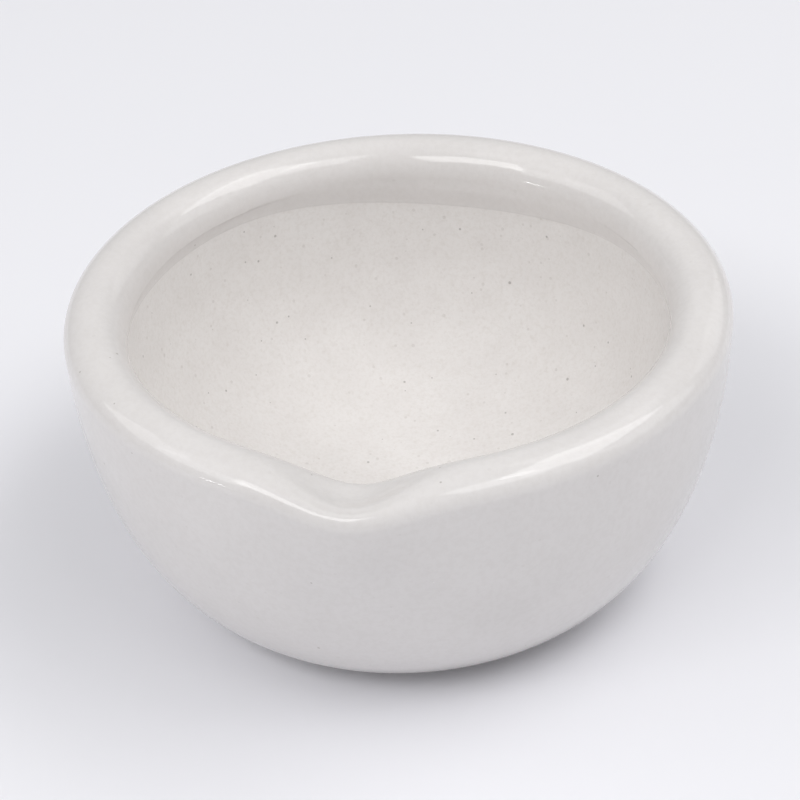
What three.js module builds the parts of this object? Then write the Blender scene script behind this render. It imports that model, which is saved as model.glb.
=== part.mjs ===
// A small porcelain laboratory mortar with a pouring lip: a thick fired body whose grinding bowl and
// foot are bare biscuit, and a clear glaze coat fused over its outside, rim and collar.
// Millimetres, +Z up. The origin is the centre of the foot, on the plane that the mortar stands on.
// The lip points along -Y.
import * as THREE from "three";
import { mergeVertices } from "three/addons/utils/BufferGeometryUtils.js";

// Overall size, over the glaze.
const RIM_RADIUS = 40;
const HEIGHT = 38;

// Rim: a broad roll, an outer and an inner quarter ellipse that meet at the crest.
const OUTER_ROLL_WIDTH = 3.8;
const OUTER_ROLL_DROP = 2.8;
const INNER_ROLL_WIDTH = 3.7;
const INNER_ROLL_DROP = 4.2;
const CREST_RADIUS = RIM_RADIUS - OUTER_ROLL_WIDTH;
const SHOULDER_HEIGHT = HEIGHT - OUTER_ROLL_DROP;

// Outer wall: straight down below the shoulder, then sweeping in to the top of the foot.
const WALL_DROP = 8.05;
const WALL_SWEEP = 13.55;
const WALL_SWEEP_ANGLE = THREE.MathUtils.degToRad(25.6);
const FOOT_HEIGHT = 0.53;
const FOOT_TOP_RADIUS = 25.7;
const FOOT_RADIUS = 25.4;
const FOOT_CHAMFER = 0.2;

// Collar inside the rim, down to the line where the glaze stops, then the bowl.
const COLLAR_RADIUS = 32.3;
const GLAZE_LINE_DROP = 6.4;
const BOWL_FLOOR_HEIGHT = 5;
const BOWL_SIDE_PULL = 21;
const BOWL_FLOOR_PULL = 23;

// Glaze coat, and the clearance that keeps it a separate solid from the body.
const GLAZE_THICKNESS = 0.4;
const GLAZE_CLEARANCE = 0.15;
const GLAZE_EDGE_THICKNESS = 0.15;
const GLAZE_START_SHARE = 0.04; // share of the wall curve, from the foot, that stays bare

// Pouring lip: how far the rim is pulled out and down at its inner side, crest and outer side, how deep
// the channel in it is, and how widely the pull spreads.
const LIP_REACH_INSIDE = -0.5;
const LIP_REACH_CREST = 3.3;
const LIP_REACH_OUTSIDE = 1.8;
const LIP_DROP_INSIDE = 2.2;
const LIP_DROP_CREST = 2.7;
const LIP_DROP_OUTSIDE = 1.7;
const LIP_CHANNEL_DEPTH = 0.8;
const LIP_SPREAD_INSIDE = THREE.MathUtils.degToRad(10);
const LIP_SPREAD_OUTSIDE = THREE.MathUtils.degToRad(11.5);
const LIP_ROOT_HEIGHT = 18.5;

// Tessellation.
const SEGMENTS = 84;
const LIP_CROWDING = 0.5; // 0 spaces the segments evenly, towards 1 crowds them at the lip
const WALL_STEPS = 14;
const ROLL_STEPS = 5;
const BOWL_STEPS = 12;

const { degToRad, lerp, smoothstep } = THREE.MathUtils;

// The outer wall's curve, from the top of the foot to the shoulder under the rim.
const wallCurve = new THREE.CubicBezierCurve(
  new THREE.Vector2(FOOT_TOP_RADIUS, FOOT_HEIGHT),
  new THREE.Vector2(
    FOOT_TOP_RADIUS + WALL_SWEEP * Math.cos(WALL_SWEEP_ANGLE),
    FOOT_HEIGHT + WALL_SWEEP * Math.sin(WALL_SWEEP_ANGLE),
  ),
  new THREE.Vector2(RIM_RADIUS, SHOULDER_HEIGHT - WALL_DROP),
  new THREE.Vector2(RIM_RADIUS, SHOULDER_HEIGHT),
);

// A quarter ellipse of the rim, centred under the crest, in equal steps of its angle.
function rollPoints(width, drop, startAngle, endAngle) {
  const roll = new THREE.EllipseCurve(CREST_RADIUS, HEIGHT - drop, width, drop, startAngle, endAngle);
  return roll.getPoints(ROLL_STEPS);
}

// The finished outline of the glazed zone, (radius, height): up the wall, over the rim, down the collar.
function glazedOutline() {
  const wall = [];
  for (let i = 0; i < WALL_STEPS; i++) {
    wall.push(wallCurve.getPoint(lerp(GLAZE_START_SHARE, 1, i / WALL_STEPS)));
  }
  const outerRoll = rollPoints(OUTER_ROLL_WIDTH, OUTER_ROLL_DROP, 0, Math.PI / 2);
  const innerRoll = rollPoints(INNER_ROLL_WIDTH, INNER_ROLL_DROP, Math.PI / 2, Math.PI);
  const glazeLine = new THREE.Vector2(COLLAR_RADIUS, HEIGHT - GLAZE_LINE_DROP);
  return [...wall, ...outerRoll, ...innerRoll.slice(1), glazeLine];
}

// An outline moved inwards, towards the porcelain, by depth(i) at point i.
function inset(outline, depth) {
  return outline.map((point, i) => {
    const before = outline[Math.max(i - 1, 0)];
    const after = outline[Math.min(i + 1, outline.length - 1)];
    const along = after.clone().sub(before).normalize();
    return new THREE.Vector2(point.x - along.y * depth(i), point.y + along.x * depth(i));
  });
}

// The bare bowl, from the glaze line to the axis, starting along the slope of the collar.
function bowlOutline(start) {
  const slope = new THREE.Vector2(
    COLLAR_RADIUS - (CREST_RADIUS - INNER_ROLL_WIDTH),
    INNER_ROLL_DROP - GLAZE_LINE_DROP,
  ).normalize();
  const bowl = new THREE.Path();
  bowl.moveTo(start.x, start.y);
  bowl.bezierCurveTo(
    start.x + slope.x * BOWL_SIDE_PULL,
    start.y + slope.y * BOWL_SIDE_PULL,
    BOWL_FLOOR_PULL,
    BOWL_FLOOR_HEIGHT,
    0,
    BOWL_FLOOR_HEIGHT,
  );
  return bowl.getPoints(BOWL_STEPS).slice(1);
}

// The body: foot, wall and rim under the glaze, then the bowl back to the axis.
function bodyOutline() {
  const skin = GLAZE_THICKNESS + GLAZE_CLEARANCE;
  const underGlaze = inset(glazedOutline(), () => skin);
  const foot = [
    new THREE.Vector2(0, 0),
    new THREE.Vector2(FOOT_RADIUS - FOOT_CHAMFER, 0),
    new THREE.Vector2(FOOT_RADIUS, FOOT_CHAMFER),
    new THREE.Vector2(FOOT_RADIUS, FOOT_HEIGHT - FOOT_CHAMFER),
  ];
  return [...foot, ...underGlaze, ...bowlOutline(underGlaze.at(-1))];
}

// The glaze coat: its face, then its back, which meet in a thin edge at the foot and at the glaze line.
function glazeOutline() {
  const outline = glazedOutline();
  const last = outline.length - 1;
  const thinned = GLAZE_THICKNESS - GLAZE_EDGE_THICKNESS;
  const face = inset(outline, (i) => (i === 0 || i === last ? thinned : 0));
  const backing = inset(outline, () => GLAZE_THICKNESS).reverse();
  return [...face, ...backing, face[0].clone()];
}

// Crowds the segments towards the -Y side, then pulls the rim out and down there as the lip.
function pullLip(geometry) {
  const position = geometry.getAttribute("position");
  for (let i = 0; i < position.count; i++) {
    const turn = Math.atan2(position.getX(i), -position.getY(i));
    const angle = turn - LIP_CROWDING * Math.sin(turn);
    const radius = Math.hypot(position.getX(i), position.getY(i));
    const z = position.getZ(i);
    const inner = smoothstep(radius, CREST_RADIUS - INNER_ROLL_WIDTH, CREST_RADIUS);
    const outer = smoothstep(radius, CREST_RADIUS, RIM_RADIUS);
    const spread = lerp(LIP_SPREAD_INSIDE, LIP_SPREAD_OUTSIDE, inner);
    const pull = Math.exp(-((angle / spread) ** 2)) * smoothstep(z, LIP_ROOT_HEIGHT, HEIGHT);
    const reach = lerp(lerp(LIP_REACH_INSIDE, LIP_REACH_CREST, inner), LIP_REACH_OUTSIDE, outer);
    const drop = lerp(lerp(LIP_DROP_INSIDE, LIP_DROP_CREST, inner), LIP_DROP_OUTSIDE, outer);
    const channel = LIP_CHANNEL_DEPTH * 4 * inner * (1 - inner);
    const pulled = radius > 0 ? radius + pull * reach : 0;
    position.setXYZ(i, pulled * Math.sin(angle), -pulled * Math.cos(angle), z - pull * (drop + channel));
  }
}

// A closed solid of revolution about Z with the lip pulled in it.
function turned(outline) {
  const geometry = new THREE.LatheGeometry(outline, SEGMENTS);
  geometry.rotateX(degToRad(90));
  geometry.deleteAttribute("normal");
  geometry.deleteAttribute("uv");
  const solid = mergeVertices(geometry, 1e-4);
  pullLip(solid);
  solid.computeVertexNormals();
  return solid;
}

function namedMesh(name, outline, material) {
  const mesh = new THREE.Mesh(turned(outline), new THREE.MeshStandardMaterial(material));
  mesh.name = name;
  return mesh;
}

const mortar = new THREE.Group();
mortar.add(
  namedMesh("porcelain_body", bodyOutline(), { color: 0xe6e2dd, roughness: 0.85, metalness: 0 }),
  namedMesh("glaze_coat", glazeOutline(), { color: 0xe9e6e3, roughness: 0.12, metalness: 0 }),
);

export default mortar;
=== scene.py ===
"""The looks of a porcelain laboratory mortar: a bare biscuit bowl inside a glossy, glazed outside."""

import math

import bmesh
import bpy
import numpy as np
from mathutils import Matrix, Vector


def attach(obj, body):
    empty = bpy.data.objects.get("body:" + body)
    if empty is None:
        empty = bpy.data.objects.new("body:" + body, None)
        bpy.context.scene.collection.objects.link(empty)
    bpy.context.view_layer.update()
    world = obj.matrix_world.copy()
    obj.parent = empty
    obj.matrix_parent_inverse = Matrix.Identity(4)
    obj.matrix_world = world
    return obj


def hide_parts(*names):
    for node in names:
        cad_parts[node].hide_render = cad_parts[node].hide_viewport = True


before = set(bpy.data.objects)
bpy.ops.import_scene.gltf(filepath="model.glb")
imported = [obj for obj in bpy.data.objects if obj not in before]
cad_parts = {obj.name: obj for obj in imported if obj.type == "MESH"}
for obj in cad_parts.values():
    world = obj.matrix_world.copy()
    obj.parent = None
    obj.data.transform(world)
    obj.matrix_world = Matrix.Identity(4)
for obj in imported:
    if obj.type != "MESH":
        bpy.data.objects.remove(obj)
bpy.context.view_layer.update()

MM = 0.001
BODY = "root"

# Size of the mortar, over the glaze, in millimetres.
RIM_RADIUS = 40.0
HEIGHT = 38.0

# Rim: an outer and an inner quarter ellipse that meet at the crest.
OUTER_ROLL_WIDTH = 3.8
OUTER_ROLL_DROP = 2.8
INNER_ROLL_WIDTH = 3.7
INNER_ROLL_DROP = 4.2
CREST_RADIUS = RIM_RADIUS - OUTER_ROLL_WIDTH
SHOULDER_HEIGHT = HEIGHT - OUTER_ROLL_DROP

# Outer wall and foot.
WALL_DROP = 8.05
WALL_SWEEP = 13.55
WALL_SWEEP_ANGLE = math.radians(25.6)
FOOT_HEIGHT = 0.53
FOOT_TOP_RADIUS = 25.7
FOOT_RADIUS = 25.4
FOOT_CHAMFER = 0.2
GLAZE_START_SHARE = 0.04

# Collar inside the rim and the grinding bowl.
COLLAR_RADIUS = 32.3
GLAZE_LINE_DROP = 6.4
BOWL_FLOOR_HEIGHT = 5.0
BOWL_SIDE_PULL = 21.0
BOWL_FLOOR_PULL = 23.0

# Glaze coat: it thins over the taper towards its edge, on a slope that would come to nothing a share of
# the taper past that edge, so the edge keeps a little thickness.
GLAZE_THICKNESS = 0.4
GLAZE_TAPER = 2.6
GLAZE_PAST_EDGE = 0.2
# How far up the collar the glaze is darkened above its edge: pooled glaze and painted shade.
GLAZE_POOL_AND_SHADE_WIDTH = 1.4 * GLAZE_TAPER

# Glaze line on the collar: its depth below the crest, its sag at the back, and its waves round the bowl.
GLAZE_LINE_BASE = 5.6
GLAZE_LINE_SAG = 2.4
GLAZE_LINE_SAG_ANGLE = math.radians(175)
GLAZE_LINE_SAG_SPREAD = math.radians(34)
GLAZE_LINE_WAVES = ((3, 0.12, 1.0), (7, 0.072, 2.2))  # waves in a turn, height, phase
GLAZE_LINE_LEAST = 0.5

# Pouring lip: its pull outwards and downwards at the rim's inner side, crest and outer side, the channel
# in it, and how widely the pull spreads.
LIP_REACH_INSIDE = -0.5
LIP_REACH_CREST = 3.3
LIP_REACH_OUTSIDE = 1.8
LIP_DROP_INSIDE = 2.2
LIP_DROP_CREST = 2.7
LIP_DROP_OUTSIDE = 1.7
LIP_CHANNEL_DEPTH = 0.8
LIP_SPREAD_INSIDE = math.radians(10)
LIP_SPREAD_OUTSIDE = math.radians(11.5)
LIP_ROOT_HEIGHT = 18.5

# Fineness of the meshes.
SEGMENTS = 512
WALL_RINGS = 72
ROLL_RINGS = 22
COLLAR_RINGS = 34
BOWL_RINGS = 80
BACKING_RINGS = 12
SHARP_ANGLE = math.radians(50)
ON_AXIS = 1e-7  # metres

# Camera: azimuth from the -Y side towards +X and elevation, in degrees; its distance from the point that
# it looks at, and that point's place to the right of the axis and above the floor, in millimetres.
CAMERA_AZIMUTH = 9.5
CAMERA_ELEVATION = 35.44
CAMERA_DISTANCE = 300.0
CAMERA_LENS = 109.5
CAMERA_ROLL = math.radians(3.0)
CAMERA_CLIP_START = 0.01  # metres
AIM_RIGHT = -0.28
AIM_HEIGHT = 21.62

# Studio: how wide the floor is and how far the light panels stand, in metres, and the room's brightness.
FLOOR_WIDTH = 6.0
PANEL_DISTANCE = 1.0
ROOM_BRIGHTNESS = 0.38


def smoothstep(value, low, high):
    """0 up to low, 1 from high on, and a smooth rise between."""
    share = np.clip((value - low) / (high - low), 0.0, 1.0)
    return share * share * (3.0 - 2.0 * share)


def blend(low, high, share):
    """The value a share of the way from low to high."""
    return low + (high - low) * share


def bezier(points, count):
    """count + 1 points of the cubic curve that four points control."""
    a, b, c, d = (np.array(point, float) for point in points)
    t = np.linspace(0.0, 1.0, count + 1)[:, None]
    return a * (1 - t) ** 3 + 3 * b * (1 - t) ** 2 * t + 3 * c * (1 - t) * t**2 + d * t**3


def quarter_roll(width, drop, start, end):
    """A quarter ellipse of the rim about the crest radius."""
    angle = np.radians(np.linspace(start, end, ROLL_RINGS + 1))
    return np.stack(
        [CREST_RADIUS + width * np.cos(angle), HEIGHT - drop + drop * np.sin(angle)], axis=1
    )


def outward(outline):
    """The direction out of the porcelain at each point of an outline."""
    along = np.gradient(outline, axis=0)
    along /= np.linalg.norm(along, axis=1)[:, None]
    return np.stack([along[:, 1], -along[:, 0]], axis=1)


def inset(outline, depth):
    """An outline moved towards the porcelain by depth."""
    return outline - outward(outline) * depth


def wall_outline():
    """The outer wall, from the foot to the shoulder under the rim."""
    sweep = (
        FOOT_TOP_RADIUS + WALL_SWEEP * math.cos(WALL_SWEEP_ANGLE),
        FOOT_HEIGHT + WALL_SWEEP * math.sin(WALL_SWEEP_ANGLE),
    )
    wall = bezier(
        [
            (FOOT_TOP_RADIUS, FOOT_HEIGHT),
            sweep,
            (RIM_RADIUS, SHOULDER_HEIGHT - WALL_DROP),
            (RIM_RADIUS, SHOULDER_HEIGHT),
        ],
        WALL_RINGS,
    )
    return wall[round(GLAZE_START_SHARE * WALL_RINGS) : -1]


def rim_outline():
    """The finished rim, from the shoulder over the crest to the top of the collar."""
    outer = quarter_roll(OUTER_ROLL_WIDTH, OUTER_ROLL_DROP, 0, 90)
    inner = quarter_roll(INNER_ROLL_WIDTH, INNER_ROLL_DROP, 90, 180)
    return np.concatenate([outer, inner[1:]])


def hollow_outline():
    """The porcelain of the collar and the bowl, from the rim to the axis, under any glaze."""
    top = np.array([CREST_RADIUS - INNER_ROLL_WIDTH, HEIGHT - INNER_ROLL_DROP])
    line = np.array([COLLAR_RADIUS, HEIGHT - GLAZE_LINE_DROP])
    slope = (line - top) / np.linalg.norm(line - top)
    behind_glaze = np.array([-slope[1], slope[0]]) * GLAZE_THICKNESS
    top += behind_glaze
    line += behind_glaze
    side_pull = line + slope * BOWL_SIDE_PULL
    collar = top + (line - top) * np.linspace(0.0, 1.0, COLLAR_RINGS + 1)[:, None]
    bowl = bezier(
        [line, side_pull, (BOWL_FLOOR_PULL, BOWL_FLOOR_HEIGHT), (0.0, BOWL_FLOOR_HEIGHT)],
        BOWL_RINGS,
    )
    return np.concatenate([collar, bowl[1:]])


def pull_lip(radius, angle, height):
    """Radius and height after the rim is pulled out and down around the -Y side."""
    inner = smoothstep(radius, CREST_RADIUS - INNER_ROLL_WIDTH, CREST_RADIUS)
    outer = smoothstep(radius, CREST_RADIUS, RIM_RADIUS)
    spread = blend(LIP_SPREAD_INSIDE, LIP_SPREAD_OUTSIDE, inner)
    pull = np.exp(-((angle / spread) ** 2)) * smoothstep(height, LIP_ROOT_HEIGHT, HEIGHT)
    reach = blend(blend(LIP_REACH_INSIDE, LIP_REACH_CREST, inner), LIP_REACH_OUTSIDE, outer)
    drop = blend(blend(LIP_DROP_INSIDE, LIP_DROP_CREST, inner), LIP_DROP_OUTSIDE, outer)
    drop += LIP_CHANNEL_DEPTH * 4.0 * inner * (1.0 - inner)  # deepest half way to the crest
    return radius + np.where(radius > 0, pull * reach, 0.0), height - pull * drop


def ring_angles():
    """Azimuth of each segment from the -Y side, within half a turn each way."""
    return np.linspace(-math.pi, math.pi, SEGMENTS, endpoint=False)


def merge_poles(mesh):
    """Joins the points that a ring of no radius leaves on the axis."""
    shape = bmesh.new()
    shape.from_mesh(mesh)
    on_axis = [vertex for vertex in shape.verts if math.hypot(vertex.co.x, vertex.co.y) < ON_AXIS]
    bmesh.ops.remove_doubles(shape, verts=on_axis, dist=ON_AXIS)
    shape.to_mesh(mesh)
    shape.free()


def grid_mesh(name, radius, height, glaze_pool_and_shade=None):
    """A closed piece through rings of points (rings x segments).

    A glaze_pool_and_shade value for each point, the glaze's darkening there from pooled glaze and painted
    shade, marks a piece whose last ring joins its first; without them the rings start and end on the axis."""
    closed_loop = glaze_pool_and_shade is not None
    angle = ring_angles()[None, :]
    radius, height = pull_lip(radius, angle, height)
    rings = radius.shape[0]
    points = np.stack(
        [radius * np.sin(angle), -radius * np.cos(angle), height], axis=2
    ).reshape(-1, 3)
    ring = np.arange(rings if closed_loop else rings - 1)[:, None]
    segment = np.arange(SEGMENTS)[None, :]
    onward = (segment + 1) % SEGMENTS
    upward = (ring + 1) % rings
    faces = np.stack(
        [
            ring * SEGMENTS + segment,
            ring * SEGMENTS + onward,
            upward * SEGMENTS + onward,
            upward * SEGMENTS + segment,
        ],
        axis=2,
    ).reshape(-1, 4)
    mesh = bpy.data.meshes.new(name)
    mesh.from_pydata((points * MM).tolist(), [], faces.tolist())
    if closed_loop:
        # The glaze's darkening at each point, pooled glaze and painted shade, for its material to read.
        layer = mesh.attributes.new("glaze_pool_and_shade", "FLOAT", "POINT")
        layer.data.foreach_set("value", glaze_pool_and_shade.reshape(-1).astype(np.float32))
    else:
        merge_poles(mesh)
    mesh.shade_smooth()
    mesh.set_sharp_from_angle(angle=SHARP_ANGLE)
    piece = bpy.data.objects.new(name, mesh)
    bpy.context.scene.collection.objects.link(piece)
    return piece


def porcelain_body():
    """The fired body: foot, wall and rim under the glaze, then the collar and the bare bowl."""
    foot = [
        (0.0, 0.0),
        (FOOT_RADIUS / 2, 0.0),
        (FOOT_RADIUS - FOOT_CHAMFER, 0.0),
        (FOOT_RADIUS, FOOT_CHAMFER),
        (FOOT_RADIUS, FOOT_HEIGHT - FOOT_CHAMFER),
    ]
    under_glaze = inset(np.concatenate([wall_outline(), rim_outline()]), GLAZE_THICKNESS)
    outline = np.concatenate([np.array(foot), under_glaze[:-1], hollow_outline()])
    around = np.ones((1, SEGMENTS))
    return grid_mesh("porcelain_body_look", outline[:, :1] * around, outline[:, 1:] * around)


def glaze_line_reach(profile_length):
    """How far down the collar the glaze runs at each azimuth, along the profile."""
    angle = ring_angles()
    from_sag = (angle - GLAZE_LINE_SAG_ANGLE + math.pi) % (2 * math.pi) - math.pi
    drop = GLAZE_LINE_BASE + GLAZE_LINE_SAG * np.exp(-((from_sag / GLAZE_LINE_SAG_SPREAD) ** 2))
    for waves, height, phase in GLAZE_LINE_WAVES:
        drop += height * np.sin(waves * angle + phase)
    return np.clip(drop - INNER_ROLL_DROP, GLAZE_LINE_LEAST, profile_length)


def glaze_coat():
    """The glaze: wall and rim, then the collar down to a wandering, rounded edge, and its back."""
    outside = np.concatenate([wall_outline(), rim_outline()])
    hollow = hollow_outline()
    out = outward(hollow)
    step = np.linalg.norm(np.diff(hollow, axis=0), axis=1)
    distance = np.concatenate([[0.0], np.cumsum(step)])

    def on_hollow(column, where):
        return np.interp(where, distance, column)

    reach = glaze_line_reach(distance[-1])[None, :]
    share = np.sin(np.linspace(0.0, 0.5 * math.pi, COLLAR_RINGS + 1))[1:, None]
    down = share * reach
    to_edge = np.clip((reach - down) / GLAZE_TAPER, 0.0, 1.0)
    thickness = GLAZE_THICKNESS * smoothstep(to_edge, -GLAZE_PAST_EDGE, 1.0)
    back_down = reach * np.linspace(1.0, 0.0, BACKING_RINGS)[1:, None]
    backing = inset(outside, GLAZE_THICKNESS)[::-1][1:]
    around = np.ones((1, SEGMENTS))
    radius, height = (
        np.concatenate(
            [
                outside[:, [axis]] * around,
                on_hollow(hollow[:, axis], down) + on_hollow(out[:, axis], down) * thickness,
                on_hollow(hollow[:, axis], back_down),
                backing[:, [axis]] * around,
            ]
        )
        for axis in (0, 1)
    )
    # Darkening of the glaze, pooled glaze and painted shade: full at its edge and on its hidden back,
    # fading up the collar, none outside.
    collar_pool_and_shade = 1.0 - np.clip((reach - down) / GLAZE_POOL_AND_SHADE_WIDTH, 0.0, 1.0)
    outside_pool_and_shade = np.zeros((len(outside), SEGMENTS))
    back_pool_and_shade = np.ones((len(back_down) + len(backing), SEGMENTS))
    pool_and_shade = np.concatenate([outside_pool_and_shade, collar_pool_and_shade, back_pool_and_shade])
    return grid_mesh("glaze_coat_look", radius, height, pool_and_shade)


class Nodes:
    """Short calls to build a material's node tree."""

    def __init__(self, name):
        self.material = bpy.data.materials.new(name)
        self.material.use_nodes = True
        self.tree = self.material.node_tree
        self.tree.nodes.clear()

    def add(self, kind, inputs=(), **settings):
        """Adds a node; inputs maps a socket's name or number to a value or to another socket."""
        node = self.tree.nodes.new("ShaderNode" + kind)
        for key, value in settings.items():
            setattr(node, key, value)
        for key, value in dict(inputs).items():
            if isinstance(value, bpy.types.NodeSocket):
                self.tree.links.new(value, node.inputs[key])
            else:
                node.inputs[key].default_value = value
        return node

    def math(self, operation, a, b=0.0, c=0.0):
        """The result of an operation on up to three numbers."""
        return self.add("Math", {0: a, 1: b, 2: c}, operation=operation).outputs[0]

    def ramp(self, value, low, high, to_low=0.0, to_high=1.0):
        """A smooth step of value from low to high, mapped to to_low and to_high."""
        inputs = {0: value, 1: low, 2: high, 3: to_low, 4: to_high}
        return self.add("MapRange", inputs, interpolation_type="SMOOTHSTEP").outputs[0]

    def mix(self, share, a, b):
        """A colour between a and b."""
        node = self.add("Mix", {"Factor": share}, data_type="RGBA")
        for socket, value in ((node.inputs[6], a), (node.inputs[7], b)):
            if isinstance(value, bpy.types.NodeSocket):
                self.tree.links.new(value, socket)
            else:
                socket.default_value = value
        return node.outputs[2]

    def place(self):
        """Where a point lies on the piece, in metres."""
        return self.add("TexCoord").outputs["Object"]

    def noise(self, size_mm, detail=3.0, roughness=0.5):
        """Noise from 0 to 1 whose features are about size_mm across."""
        inputs = {"Vector": self.place(), "Scale": 1.0 / (size_mm * MM), "Detail": detail}
        inputs["Roughness"] = roughness
        return self.add("TexNoise", inputs).outputs["Fac"]

    def specks(self, spacing_mm, size_mm, kept):
        """1 inside round specks about size_mm wide, in the kept share of cells spacing_mm apart."""
        cells = self.add("TexVoronoi", {"Vector": self.place(), "Scale": 1.0 / (spacing_mm * MM)})
        chance = self.add("SeparateColor", {0: cells.outputs["Color"]}).outputs
        # The specks are from 0.45 to 1.35 times the size asked for, each with a soft edge.
        radius = 0.5 * size_mm / spacing_mm
        wide = self.math("MULTIPLY_ADD", chance[1], 0.9 * radius, 0.45 * radius)
        inside = self.ramp(self.math("DIVIDE", cells.outputs["Distance"], wide), 0.75, 1.15, 1.0, 0.0)
        return self.math("MULTIPLY", inside, self.math("LESS_THAN", chance[0], kept))

    def stain(self, base, mask, strength, tint):
        """base, with the tint laid over it at this strength where the mask is 1."""
        return self.mix(self.math("MULTIPLY", mask, strength), base, tint)

    def finish(self, shader):
        """The material, with the shader on its surface."""
        self.add("OutputMaterial", {"Surface": shader})
        return self.material


def colour(red, green, blue):
    """An opaque colour for a node's socket."""
    return (red, green, blue, 1.0)


def glaze_material():
    """Clear gloss glaze on white porcelain, faintly specked; pooled glaze and painted shade darken its
    edge.
    """
    n = Nodes("clear_glaze")
    tone = n.noise(14.0, 2.0)
    base = n.mix(n.ramp(tone, 0.3, 0.7), colour(0.709, 0.686, 0.677), colour(0.735, 0.712, 0.703))
    # Painted shade with pooled glaze: the colour turns darker and more olive towards the glaze line on the
    # collar.
    pooled_and_shaded = n.add("Attribute", attribute_name="glaze_pool_and_shade").outputs["Fac"]
    base = n.mix(n.ramp(pooled_and_shaded, 0.0, 1.0, 0.0, 0.03), base, colour(0.42, 0.405, 0.35))
    haze = n.ramp(n.noise(0.8, 3.0, 0.65), 0.38, 0.66, 0.0, 0.09)
    base = n.mix(haze, base, colour(0.50, 0.46, 0.43))
    grey_specks = n.specks(1.8, 0.40, 0.3)
    base = n.stain(base, grey_specks, 0.07, colour(0.30, 0.26, 0.22))
    dark_specks = n.specks(2.9, 0.32, 0.4)
    base = n.stain(base, dark_specks, 0.38, colour(0.16, 0.12, 0.09))
    pale_pits = n.specks(4.0, 0.26, 0.35)
    base = n.stain(base, pale_pits, 0.4, colour(0.95, 0.94, 0.93))
    relief = n.math("MULTIPLY_ADD", n.noise(5.0, 1.0), 0.020, n.math("MULTIPLY", pale_pits, -0.02))
    relief = n.math("MULTIPLY_ADD", n.noise(1.2, 1.0), 0.0012, relief)
    bump = n.add("Bump", {"Strength": 1.0, "Distance": MM, "Height": relief})
    shader = n.add(
        "BsdfPrincipled",
        {
            "Base Color": base,
            "Roughness": n.ramp(n.noise(3.0), 0.2, 0.8, 0.06, 0.10),
            "IOR": 1.5,
            "Normal": bump.outputs["Normal"],
        },
    )
    return n.finish(shader.outputs["BSDF"])


def biscuit_material():
    """Bare fired porcelain: matte, finely grained, with grey mottling and a few iron specks."""
    n = Nodes("biscuit_porcelain")
    cloud = n.noise(6.0, 3.0)
    mottle = n.noise(0.8, 3.0, 0.6)
    base = n.mix(n.ramp(cloud, 0.3, 0.7), colour(0.754, 0.730, 0.716), colour(0.778, 0.756, 0.743))
    base = n.mix(n.ramp(mottle, 0.45, 0.75, 0.0, 0.16), base, colour(0.60, 0.56, 0.52))
    grit = n.noise(0.45, 2.0, 0.6)
    base = n.mix(n.ramp(grit, 0.42, 0.70, 0.0, 0.17), base, colour(0.60, 0.56, 0.52))
    grains = n.specks(0.75, 0.42, 0.5)
    base = n.stain(base, grains, 0.07, colour(0.42, 0.36, 0.30))
    ash = n.specks(1.3, 0.40, 0.35)
    base = n.stain(base, ash, 0.17, colour(0.30, 0.26, 0.22))
    iron = n.specks(1.7, 0.32, 0.4)
    base = n.stain(base, iron, 0.42, colour(0.12, 0.10, 0.08))
    relief = n.math("MULTIPLY_ADD", n.noise(0.25, 2.0), 0.018, n.math("MULTIPLY", mottle, 0.02))
    bump = n.add("Bump", {"Strength": 0.8, "Distance": MM, "Height": relief})
    shader = n.add(
        "BsdfPrincipled",
        {
            "Base Color": base,
            "Roughness": n.ramp(mottle, 0.2, 0.8, 0.72, 0.9),
            "IOR": 1.45,
            "Normal": bump.outputs["Normal"],
        },
    )
    return n.finish(shader.outputs["BSDF"])


def dress(piece, material, node):
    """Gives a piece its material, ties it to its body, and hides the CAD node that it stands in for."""
    piece.data.materials.append(material)
    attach(piece, BODY)
    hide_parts(node)


def floor_material():
    """A matte, very slightly blue white."""
    n = Nodes("floor")
    tone = n.noise(120.0, 1.0)
    base = n.mix(tone, colour(0.822, 0.822, 0.858), colour(0.832, 0.832, 0.868))
    shader = n.add("BsdfPrincipled", {"Base Color": base, "Roughness": 0.9, "IOR": 1.3})
    return n.finish(shader.outputs["BSDF"])


def floor():
    """A plain pale floor under the mortar."""
    half = FLOOR_WIDTH / 2
    corners = [(-half, -half, 0), (half, -half, 0), (half, half, 0), (-half, half, 0)]
    mesh = bpy.data.meshes.new("floor")
    mesh.from_pydata(corners, [], [(0, 1, 2, 3)])
    mesh.materials.append(floor_material())
    plane = bpy.data.objects.new("floor", mesh)
    bpy.context.scene.collection.objects.link(plane)


def direction(azimuth, elevation):
    """A unit vector; azimuth in degrees from -Y towards +X, elevation above the floor."""
    a, e = math.radians(azimuth), math.radians(elevation)
    return Vector((math.sin(a) * math.cos(e), -math.cos(a) * math.cos(e), math.sin(e)))


def softbox(name, azimuth, elevation, width, height, brightness):
    """A soft panel that faces the mortar; its azimuth is from the camera's, towards the right."""
    light = bpy.data.lights.new(name, "AREA")
    light.shape = "RECTANGLE"
    light.size, light.size_y = width, height
    light.energy = brightness * math.pi * width * height  # watts for this brightness all over
    lamp = bpy.data.objects.new(name, light)
    towards = direction(azimuth + CAMERA_AZIMUTH, elevation)
    lamp.location = towards * PANEL_DISTANCE + Vector((0.0, 0.0, HEIGHT / 2 * MM))
    lamp.rotation_euler = towards.to_track_quat("Z", "Y").to_euler()
    bpy.context.scene.collection.objects.link(lamp)


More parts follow.
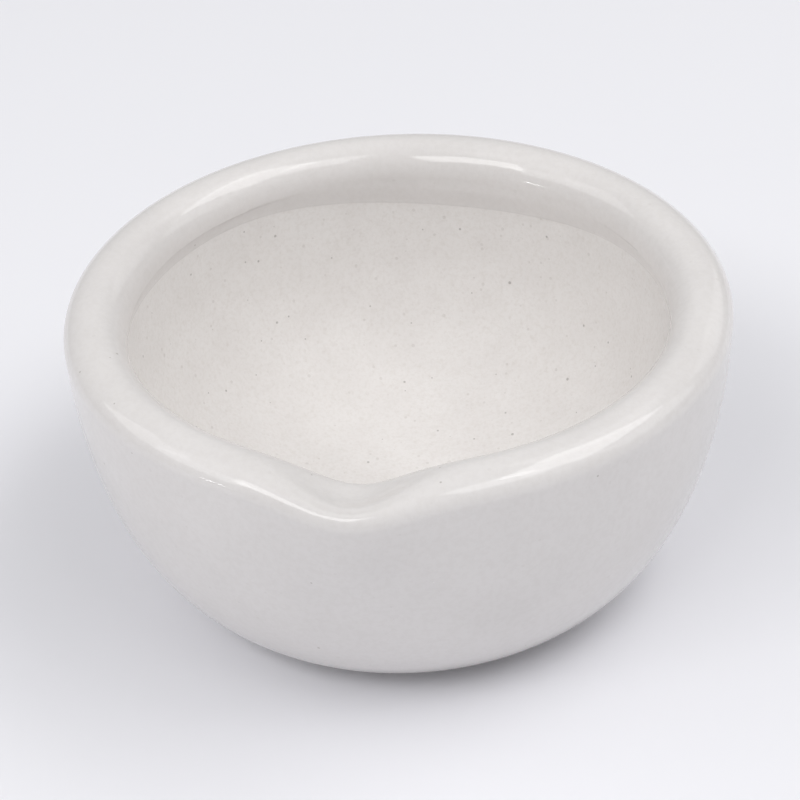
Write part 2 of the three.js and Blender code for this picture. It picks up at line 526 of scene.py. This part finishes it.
def lighting():
    """A pale room and soft panels around the mortar, strongest from the front left and the right."""
    world = bpy.data.worlds.new("studio")
    world.use_nodes = True
    background = world.node_tree.nodes["Background"]
    background.inputs["Color"].default_value = colour(1.0, 1.0, 1.0)
    background.inputs["Strength"].default_value = ROOM_BRIGHTNESS
    bpy.context.scene.world = world
    softbox("front_left", -40, 48, 0.62, 0.34, 3.9)
    softbox("small_front_left", -61, 6, 0.14, 0.03, 12.0)
    softbox("front_right", 40, 60, 0.40, 0.40, 2.1)
    softbox("right_high", 88, 58, 0.60, 0.50, 2.9)
    softbox("right_middle", 60, 42, 0.40, 0.40, 0.5)
    softbox("right_low", 90, 30, 0.60, 0.40, 0.8)
    softbox("back_right_high", 130, 60, 0.40, 0.40, 0.8)
    softbox("back_right_low", 135, 25, 0.50, 0.40, 0.5)
    softbox("left_high", -85, 62, 0.50, 0.50, 0.65)
    softbox("left_low", -75, 38, 0.50, 0.35, 1.5)
    softbox("back_left", -105, 38, 0.40, 0.40, 1.25)


def camera():
    """A long lens above the front of the mortar, a little to the right of its lip, and slightly rolled."""
    back = direction(CAMERA_AZIMUTH, CAMERA_ELEVATION)
    right = Vector((0, 0, 1)).cross(back).normalized()
    up = back.cross(right)
    aim = right * AIM_RIGHT + Vector((0, 0, AIM_HEIGHT))
    data = bpy.data.cameras.new("camera")
    data.lens = CAMERA_LENS
    data.clip_start = CAMERA_CLIP_START
    eye = bpy.data.objects.new("camera", data)
    turned_right = right * math.cos(CAMERA_ROLL) - up * math.sin(CAMERA_ROLL)
    turned_up = right * math.sin(CAMERA_ROLL) + up * math.cos(CAMERA_ROLL)
    axes = Matrix((turned_right, turned_up, back)).transposed()
    eye.matrix_world = Matrix.Translation((aim + back * CAMERA_DISTANCE) * MM) @ axes.to_4x4()
    bpy.context.scene.collection.objects.link(eye)
    bpy.context.scene.camera = eye


dress(porcelain_body(), biscuit_material(), "porcelain_body")
dress(glaze_coat(), glaze_material(), "glaze_coat")
floor()
lighting()
camera()
bpy.context.scene.view_settings.view_transform = "Standard"
